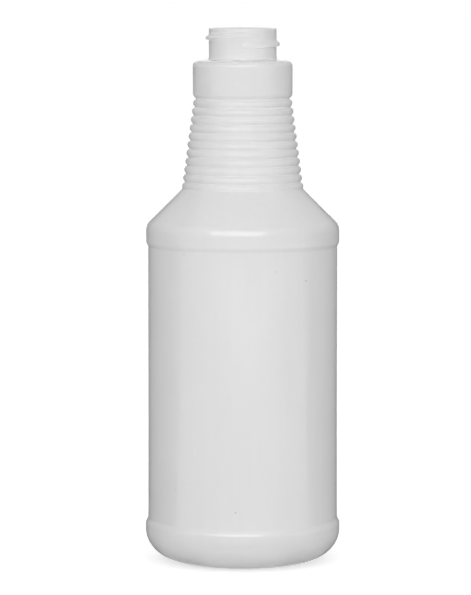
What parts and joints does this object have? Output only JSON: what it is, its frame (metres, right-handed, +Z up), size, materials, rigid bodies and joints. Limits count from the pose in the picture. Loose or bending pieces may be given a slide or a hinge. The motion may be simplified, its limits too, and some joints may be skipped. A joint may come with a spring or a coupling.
{
  "type": "carafe bottle",
  "caption": "One-piece blow-moulded carafe bottle with a screw neck, a collar, a ribbed grip cone, a sloped shoulder, a straight label panel and a rounded base.",
  "frame": {"origin": "centre of the base on the plane that the bottle stands on", "axes": "+Z up the bottle's axis towards the mouth, -Y towards the front, +X to the right as seen from the front"},
  "size_m": [0.0722, 0.072, 0.1977],
  "materials": {
    "natural_plastic": "satin, milky natural polyethylene"
  },
  "bodies": {
    "root": {"bottle": "natural_plastic"}
  },
  "joints": []
}
